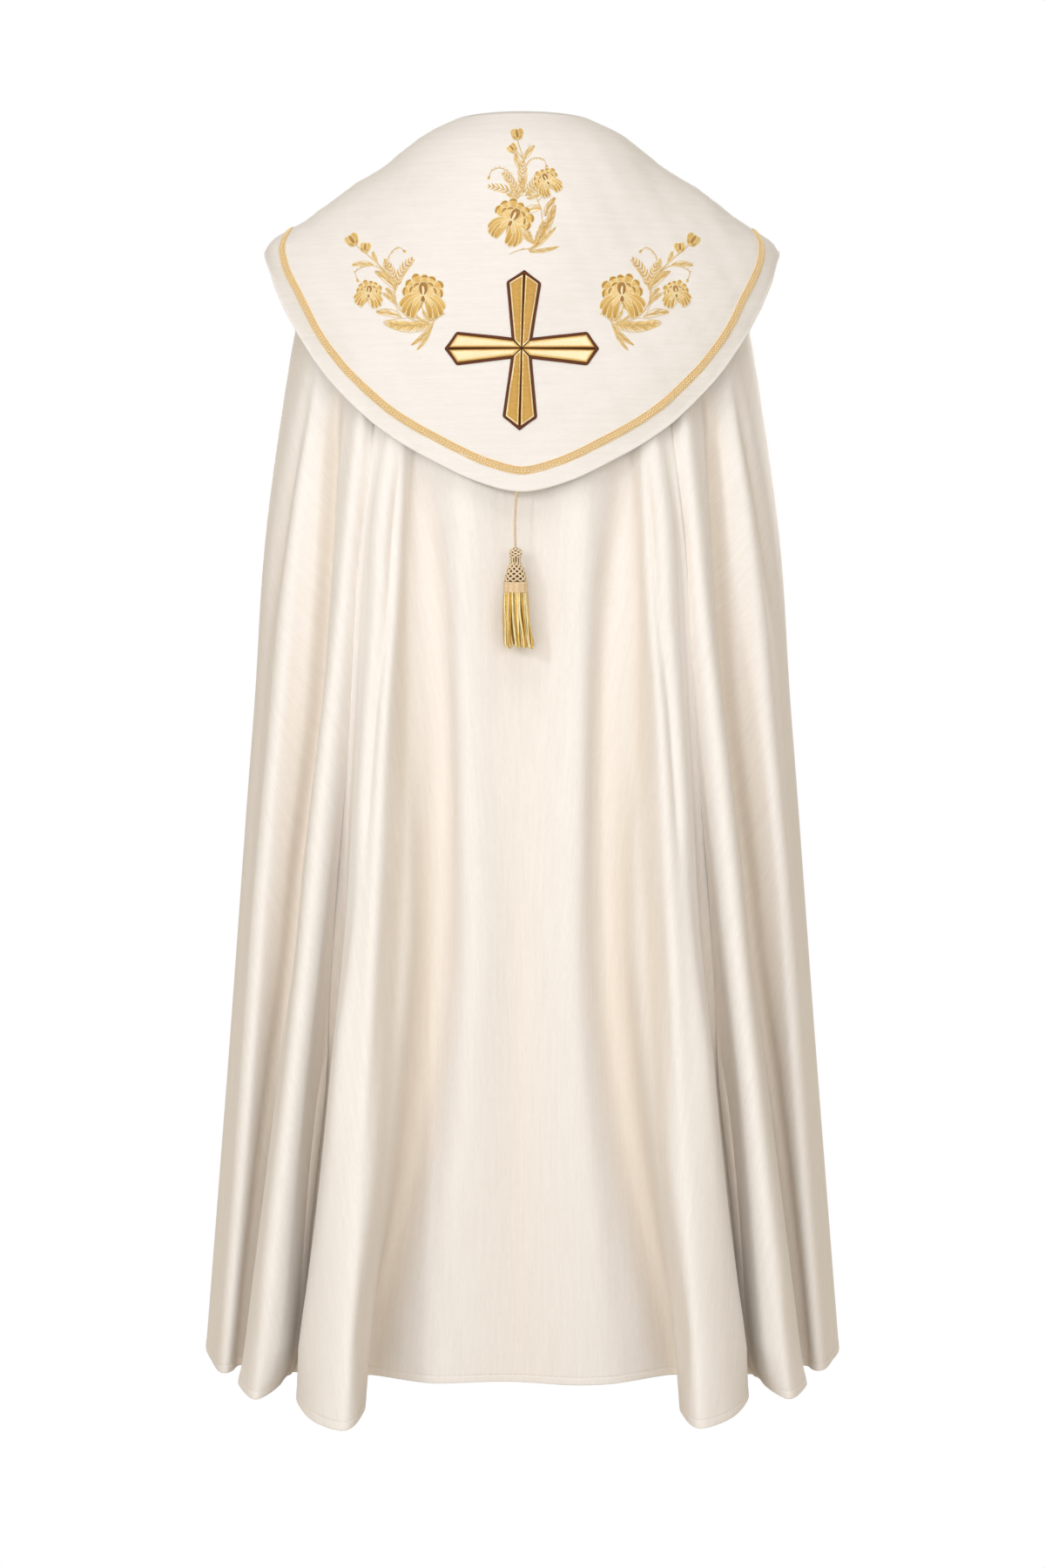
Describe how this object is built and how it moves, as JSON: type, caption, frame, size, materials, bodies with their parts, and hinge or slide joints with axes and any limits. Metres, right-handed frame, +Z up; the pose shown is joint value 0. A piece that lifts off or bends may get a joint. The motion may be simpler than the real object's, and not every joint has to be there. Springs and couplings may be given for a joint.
{
  "type": "cope vestment",
  "caption": "Ivory cope: a floor-length liturgical mantle open at the front, with a shield-shaped back hood edged in gold braid, an embroidered gold cross and a hanging tassel.",
  "frame": {"origin": "the middle of the neck opening, level with the nape, where the wearer's neck and shoulders hold the cope", "axes": "+Z up, +Y to the wearer's back, +X to the wearer's left"},
  "size_m": [0.764, 0.537, 1.4744],
  "materials": {
    "cope_body": "satin",
    "hood": "satin",
    "hood_galloon": "satin",
    "cross_ground": "matte",
    "cross_satin_1": "satin",
    "cross_satin_2": "satin",
    "cross_satin_3": "satin",
    "cross_satin_4": "satin",
    "cross_satin_5": "satin",
    "cross_satin_6": "satin",
    "cross_satin_7": "satin",
    "cross_satin_8": "satin",
    "tassel_cord": "satin",
    "tassel_head": "satin",
    "tassel_band": "satin",
    "tassel_fringe": "satin",
    "morse_tab": "satin"
  },
  "bodies": {
    "root": {"cope_body": "cope_body", "hood": "hood", "hood_galloon": "hood_galloon", "cross_ground": "cross_ground", "cross_satin_1": "cross_satin_1", "cross_satin_2": "cross_satin_2", "cross_satin_3": "cross_satin_3", "cross_satin_4": "cross_satin_4", "cross_satin_5": "cross_satin_5", "cross_satin_6": "cross_satin_6", "cross_satin_7": "cross_satin_7", "cross_satin_8": "cross_satin_8", "tassel_cord": "tassel_cord", "tassel_head": "tassel_head", "tassel_band": "tassel_band", "tassel_fringe": "tassel_fringe", "morse_tab": "morse_tab"}
  },
  "joints": []
}
